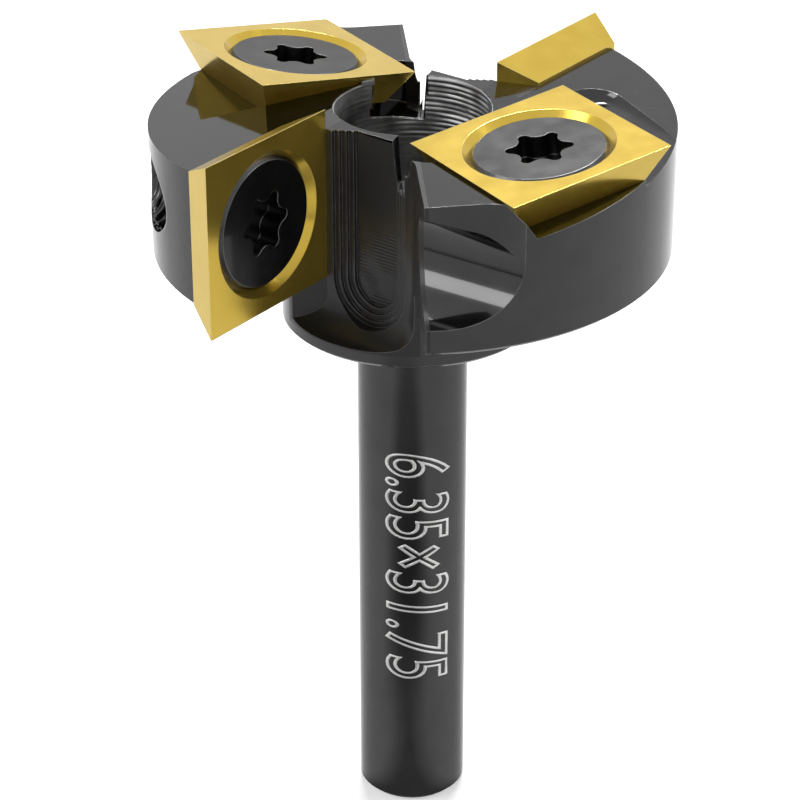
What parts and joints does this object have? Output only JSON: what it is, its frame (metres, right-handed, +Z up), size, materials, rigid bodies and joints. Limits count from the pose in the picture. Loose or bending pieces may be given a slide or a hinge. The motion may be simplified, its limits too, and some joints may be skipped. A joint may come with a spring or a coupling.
{
  "type": "surfacing router bit",
  "caption": "Surfacing router bit: a slim round shank and hub under a two-lobed cutter head with flat and upright square inserts held by countersunk screws.",
  "frame": {"origin": "centre of the shank's free end, on the axis", "axes": "+Z up the axis from the shank to the cutting face; X and Y across it; the head repeats every half turn about Z"},
  "size_m": [0.0292, 0.0292, 0.0458],
  "materials": {
    "body": "glossy black oxide over machined steel",
    "insert": "gold coating over ground insert",
    "screw": "satin black oxide"
  },
  "bodies": {
    "root": {"body": "body", "upright_insert_front": "insert", "upright_insert_back": "insert", "flat_insert_right": "insert", "flat_insert_left": "insert", "screw_upright_front": "screw", "screw_upright_back": "screw", "screw_flat_right": "screw", "screw_flat_left": "screw"}
  },
  "joints": []
}
